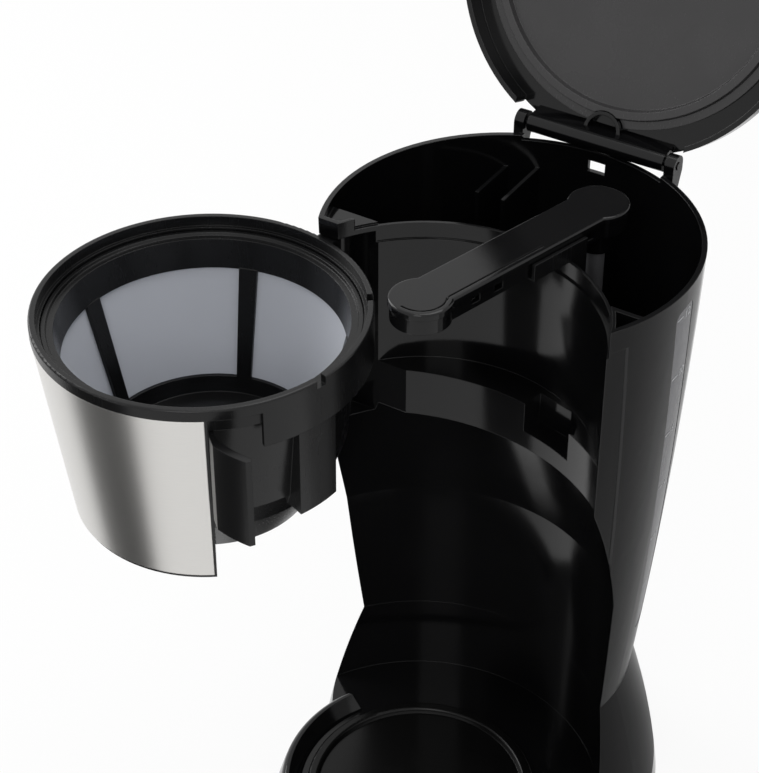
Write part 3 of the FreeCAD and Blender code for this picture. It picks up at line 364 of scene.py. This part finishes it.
def brushed_metal(name, colour, roughness, axis, density, anisotropy):
    """Brushed metal round an upright axis through a point."""
    material, tree, shader = new_material(name)
    shader.inputs["Metallic"].default_value = 1.0
    shader.inputs["Anisotropic"].default_value = anisotropy
    shader.inputs["Anisotropic Rotation"].default_value = 0.25
    lines = place_group(tree, "Brushing", Axis_X=axis[0], Axis_Y=axis[1], Line_density=density)
    tint(tree, shader, colour, lines, "Lines", 0.18)
    spread = add_node(tree, "ShaderNodeMapRange")
    spread.inputs["To Min"].default_value = roughness - 0.05
    spread.inputs["To Max"].default_value = roughness + 0.07
    link(tree, lines, "Lines", spread, "Value")
    link(tree, spread, "Result", shader, "Roughness")
    bump_from(tree, shader, lines, "Lines", 0.12, 0.00004)
    return material


def dress(names, material):
    """Give CAD nodes a finish."""
    for name in names:
        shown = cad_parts[name]
        shown.data.materials.clear()
        shown.data.materials.append(material)


def finishes():
    """Finish settings of the scene."""
    return bpy.context.scene.coffee_finishes


# Pieces

class COFFEE_OT_housing(Operator):
    """Finish the black plastic, polished on the tower, base, lid and arm and moulded elsewhere"""
    bl_idname = "coffee.housing"
    bl_label = "Housing"

    def execute(self, context):
        finish = finishes()
        gloss = plastic(
            "Polished black plastic", finish.gloss_black, finish.gloss_roughness, POLISHED_GRAIN,
            specular=finish.black_specular,
        )
        satin = plastic(
            "Moulded black plastic", finish.satin_black, finish.satin_roughness, MOULDED_GRAIN,
            specular=finish.black_specular,
        )
        liner = plastic("Lid liner plastic", finish.liner_black, finish.satin_roughness, MOULDED_GRAIN)
        dress(["tower_housing", "base_housing", "lid_shell", "switch_rocker"], gloss)
        dress(["shower_arm", "shower_cover"], gloss)
        dress(["lid_liner"], liner)
        dress(["base_cover", "switch_bezel", "thermostat", "arm_saddle"], satin)
        dress(["holder_shell", "holder_grip", "filter_frame", "holder_hinge_pin", "lid_hinge_pin"], satin)
        return {"FINISHED"}


class COFFEE_OT_small_parts(Operator):
    """Finish the screws, hoses, feet, valves and hot plate"""
    bl_idname = "coffee.small_parts"
    bl_label = "Small parts"

    def execute(self, context):
        finish = finishes()
        zinc = plastic("Zinc plate", finish.zinc, 0.32, PLATED_GRAIN, smudges=0.10, hairlines=0.08)
        zinc.node_tree.nodes["Principled BSDF"].inputs["Metallic"].default_value = 1.0
        rubber = plastic("Soft rubber", finish.rubber, 0.62, RUBBER_GRAIN, smudges=0.08, hairlines=0.0)
        grey = plastic("Grey tube plastic", finish.tube_grey, 0.34, TUBE_GRAIN)
        milky = plastic("Milky silicone", finish.silicone, 0.42, SILICONE_GRAIN)
        milky.node_tree.nodes["Principled BSDF"].inputs["Subsurface Weight"].default_value = 0.25
        coat = plastic(
            "Plate coating", finish.plate_coat, 0.22, COATING_GRAIN,
            smudges=0.06, hairlines=0.02, specular=0.2,
        )
        metal = plastic("Drawn aluminium", finish.aluminium, 0.38, DRAWN_GRAIN, smudges=0.10, hairlines=0.10)
        metal.node_tree.nodes["Principled BSDF"].inputs["Metallic"].default_value = 1.0
        dress(["cover_screws", "heater_clamp", "thermal_fuse", "valve_spring"], zinc)
        dress(["rubber_feet", "plate_seal", "cord_gland"], rubber)
        dress(["riser_tube", "check_valve", "valve_stem"], grey)
        dress(["hot_hose", "cold_hose", "valve_seal"], milky)
        dress(["hot_plate"], coat)
        dress(["heater_tube"], metal)
        return {"FINISHED"}


class COFFEE_OT_steel(Operator):
    """Finish the holder's front in brushed steel"""
    bl_idname = "coffee.steel"
    bl_label = "Steel band"

    def execute(self, context):
        finish = finishes()
        steel = brushed_metal(
            "Brushed steel", finish.steel, finish.steel_roughness, holder_axis(),
            BRUSH_DENSITY, BRUSH_ANISOTROPY,
        )
        dress(["steel_band"], steel)
        return {"FINISHED"}


def holder_axis():
    """Middle of the filter's round flange, which shares the holder's axis."""
    low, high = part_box("filter_mesh")
    return (low.x + high.x) / 2, (low.y + high.y) / 2


class COFFEE_OT_filter_mesh(Operator):
    """Finish the filter's mesh as a fine pale weave"""
    bl_idname = "coffee.filter_mesh"
    bl_label = "Filter mesh"

    def execute(self, context):
        finish = finishes()
        material, tree, shader = new_material("Woven filter mesh")
        shader.inputs["Roughness"].default_value = 0.55
        place = add_node(tree, "ShaderNodeTexCoord")
        parts = add_node(tree, "ShaderNodeSeparateXYZ")
        link(tree, place, "Object", parts, "Vector")
        axis = holder_axis()
        dx = math_node(tree, "SUBTRACT", (parts, "X"), axis[0])
        dy = math_node(tree, "SUBTRACT", (parts, "Y"), axis[1])
        turn = math_node(tree, "ARCTAN2", (dy, "Value"), (dx, "Value"))
        around = math_node(tree, "MULTIPLY", (turn, "Value"), MESH_THREADS)
        across = math_node(tree, "SINE", (around, "Value"))
        rise = math_node(tree, "MULTIPLY", (parts, "Z"), MESH_THREADS / MESH_RISE)
        along = math_node(tree, "SINE", (rise, "Value"))
        cell = math_node(tree, "MULTIPLY", (across, "Value"), (along, "Value"))
        weave = add_node(tree, "ShaderNodeMapRange")
        weave.inputs["From Min"].default_value = -1.0
        link(tree, cell, "Value", weave, "Value")
        tint(tree, shader, finish.mesh_cloth, weave, "Result", 0.22)
        bump_from(tree, shader, weave, "Result", 0.25, 0.00006)
        dress(["filter_mesh"], material)
        return {"FINISHED"}


def window_point(across, z):
    """Point just above the level window's face, at a distance from its front edge and a height."""
    part = (z - SEAM_Z) / (RIM_Z - SEAM_Z)
    flank = WAIST_RADIUS + (RIM_RADIUS - WAIST_RADIUS) * part + 4.0 * FLANK_SAG * part * (1.0 - part)
    radius = flank + PRINT_LIFT
    front = -(z - WINDOW_MID_Z) * math.tan(WINDOW_LEAN) - WINDOW_HALF
    turn = WINDOW_TURN + math.asin((front + across) / radius)
    return Vector((radius * math.cos(turn), TOWER_AXIS_Y + radius * math.sin(turn), z))


def number_outline(text, height):
    """Flat mesh of a number, from Blender's own letters."""
    curve = bpy.data.curves.new("number", "FONT")
    curve.body = text
    curve.size = height / 0.7
    curve.resolution_u = 3
    carrier = bpy.data.objects.new("number", curve)
    bpy.context.scene.collection.objects.link(carrier)
    bpy.context.view_layer.update()
    mesh = bpy.data.meshes.new_from_object(carrier.evaluated_get(bpy.context.evaluated_depsgraph_get()))
    bpy.data.objects.remove(carrier)
    bpy.data.curves.remove(curve)
    return mesh


def level_marks(marks):
    """Printed lines and numbers that follow the window's curved face."""
    shape = bmesh.new()
    steps = 6
    for mark in range(marks.count):
        height = marks.lowest + marks.spacing * mark
        previous = None
        for step in range(steps + 1):
            across = 0.9 * MM + marks.line_length * step / steps
            pair = [
                shape.verts.new(window_point(across, height - marks.line_width / 2)),
                shape.verts.new(window_point(across, height + marks.line_width / 2)),
            ]
            if previous:
                shape.faces.new((previous[0], pair[0], pair[1], previous[1]))
            previous = pair
        digits = number_outline(str(2 * (mark + 1)), marks.number_height)
        first = marks.line_length + 2.2 * MM
        placed = [
            shape.verts.new(window_point(first + v.co.x, height - marks.number_height / 2 + v.co.y))
            for v in digits.vertices
        ]
        for face in digits.polygons:
            shape.faces.new([placed[index] for index in face.vertices])
        bpy.data.meshes.remove(digits)
    mesh = bpy.data.meshes.new("level_marks")
    shape.to_mesh(mesh)
    shape.free()
    return mesh


class COFFEE_OT_window(Operator):
    """Finish the level window and print its marks"""
    bl_idname = "coffee.window"
    bl_label = "Level window"

    def execute(self, context):
        finish = finishes()
        smoke = plastic("Smoky window", finish.window_smoke, 0.16, WINDOW_GRAIN)
        dress(["level_window"], smoke)
        mesh = level_marks(context.scene.coffee_marks)
        mesh.materials.append(plastic("Printed marks", finish.mark_white, 0.5, PRINT_GRAIN))
        piece = bpy.data.objects.new("level_marks", mesh)
        context.scene.collection.objects.link(piece)
        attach(piece, "machine")
        return {"FINISHED"}


# Stage

def soft_lamp(name, place, aim, size, power):
    """Rectangular area lamp that faces a point."""
    data = bpy.data.lights.new(name, "AREA")
    data.shape = "RECTANGLE"
    data.size, data.size_y = size
    data.energy = power
    lamp = bpy.data.objects.new(name, data)
    bpy.context.scene.collection.objects.link(lamp)
    lamp.location = place
    lamp.rotation_mode = "QUATERNION"
    lamp.rotation_quaternion = (Vector(place) - Vector(aim)).to_track_quat("Z", "Y")


def studio_card(name, axis, first, last, near, far, tone):
    """Card that slopes up from the floor between two azimuths round an axis and shows only in reflections."""
    corners = []
    for azimuth, (reach, height) in ((first, near), (last, near), (last, far), (first, far)):
        turn = math.radians(azimuth)
        corners.append((axis[0] + reach * math.sin(turn), axis[1] - reach * math.cos(turn), height))
    mesh = bpy.data.meshes.new(name)
    mesh.from_pydata(corners, [], [(0, 1, 2, 3)])
    material, _, shader = new_material(name)
    shader.inputs["Base Color"].default_value = (tone, tone, tone, 1.0)
    shader.inputs["Roughness"].default_value = 0.9
    mesh.materials.append(material)
    card = bpy.data.objects.new(name, mesh)
    bpy.context.scene.collection.objects.link(card)
    card.visible_camera = False
    card.visible_diffuse = False
    card.visible_transmission = False
    card.visible_shadow = False


def seen_mask(tree):
    """1 for rays that show the background: straight from the camera, mirrored or through glass."""
    path = add_node(tree, "ShaderNodeLightPath")
    mirrored = math_node(tree, "MAXIMUM", (path, "Is Camera Ray"), (path, "Is Glossy Ray"))
    return math_node(tree, "MAXIMUM", (mirrored, "Value"), (path, "Is Transmission Ray"))


def floor_material():
    """Pale floor that glows where it is seen, so that it is white but keeps the shadow."""
    material, tree, shader = new_material("Pale floor")
    shader.inputs["Base Color"].default_value = FLOOR_TONE
    shader.inputs["Roughness"].default_value = 0.9
    shader.inputs["Specular IOR Level"].default_value = 0.0
    glow = add_node(tree, "ShaderNodeEmission", Strength=1.0)
    share = math_node(tree, "MULTIPLY", (seen_mask(tree), "Value"), FLOOR_GLOW)
    mix = add_node(tree, "ShaderNodeMixShader")
    link(tree, share, "Value", mix, "Fac")
    tree.links.new(shader.outputs["BSDF"], mix.inputs[1])
    tree.links.new(glow.outputs["Emission"], mix.inputs[2])
    tree.links.new(mix.outputs["Shader"], tree.nodes["Material Output"].inputs["Surface"])
    return material


class COFFEE_OT_stage(Operator):
    """Set the pale floor, the soft lamps, the world and the camera"""
    bl_idname = "coffee.stage"
    bl_label = "Studio"

    def execute(self, context):
        scene = context.scene
        stage = scene.coffee_stage
        half = stage.floor_size / 2
        floor_mesh = bpy.data.meshes.new("floor")
        corners = [(-half, -half, 0), (half, -half, 0), (half, half, 0), (-half, half, 0)]
        floor_mesh.from_pydata(corners, [], [(0, 1, 2, 3)])
        floor_mesh.materials.append(floor_material())
        floor = bpy.data.objects.new("floor", floor_mesh)
        scene.collection.objects.link(floor)

        for name, place, size, power in LAMPS:
            soft_lamp(name, place, LAMP_AIM, size, power)
        studio_card("front_card", holder_axis(), -56.0, -10.0, (0.12, 0.004), (0.5, 0.38), 0.09)
        studio_card("side_card", (0.0, TOWER_AXIS_Y), 80.0, 172.0, (0.11, 0.004), (0.6, 0.3), 0.62)

        world = bpy.data.worlds.new("Studio")
        scene.world = world
        world.use_nodes = True
        tree = world.node_tree
        light = tree.nodes["Background"]
        light.inputs["Color"].default_value = (1.0, 1.0, 1.0, 1.0)
        level = add_node(tree, "ShaderNodeMapRange")
        level.inputs["To Min"].default_value = WORLD_LIGHT
        level.inputs["To Max"].default_value = WORLD_SEEN
        link(tree, seen_mask(tree), "Value", level, "Value")
        link(tree, level, "Result", light, "Strength")
        scene.view_settings.view_transform = "Standard"

        camera_data = bpy.data.cameras.new("camera")
        camera_data.lens = stage.lens
        camera_data.sensor_width = 36.0
        camera = bpy.data.objects.new("camera", camera_data)
        scene.collection.objects.link(camera)
        back = Vector((
            math.sin(stage.azimuth) * math.cos(stage.elevation),
            -math.cos(stage.azimuth) * math.cos(stage.elevation),
            math.sin(stage.elevation),
        ))
        camera.location = Vector(stage.target) + back * stage.distance
        camera.rotation_mode = "QUATERNION"
        camera.rotation_quaternion = back.to_track_quat("Z", "Y")
        camera_data.clip_start = 0.01
        camera_data.clip_end = 50.0
        scene.camera = camera
        return {"FINISHED"}


class COFFEE_PT_panel(Panel):
    """Lists the pieces of the coffee maker's looks"""
    bl_idname = "COFFEE_PT_panel"
    bl_label = "Coffee Maker"
    bl_space_type = "VIEW_3D"
    bl_region_type = "UI"
    bl_category = "Coffee Maker"

    def draw(self, context):
        for operator in PIECE_OPERATORS:
            self.layout.operator(operator.bl_idname)
        for label in ("coffee_finishes", "coffee_marks", "coffee_stage"):
            settings = getattr(context.scene, label)
            column = self.layout.column()
            for name in settings.__annotations__:
                column.prop(settings, name)


PIECE_OPERATORS = (
    COFFEE_OT_housing,
    COFFEE_OT_small_parts,
    COFFEE_OT_steel,
    COFFEE_OT_filter_mesh,
    COFFEE_OT_window,
    COFFEE_OT_stage,
)
CLASSES = (FinishSettings, MarkSettings, StageSettings) + PIECE_OPERATORS + (COFFEE_PT_panel,)


def register():
    for cls in CLASSES:
        bpy.utils.register_class(cls)
    bpy.types.Scene.coffee_finishes = PointerProperty(type=FinishSettings)
    bpy.types.Scene.coffee_marks = PointerProperty(type=MarkSettings)
    bpy.types.Scene.coffee_stage = PointerProperty(type=StageSettings)


def unregister():
    del bpy.types.Scene.coffee_stage
    del bpy.types.Scene.coffee_marks
    del bpy.types.Scene.coffee_finishes
    for cls in reversed(CLASSES):
        bpy.utils.unregister_class(cls)


def main():
    register()
    for operator in PIECE_OPERATORS:
        group, name = operator.bl_idname.split(".")
        getattr(getattr(bpy.ops, group), name)()


if __name__ == "__main__":
    main()
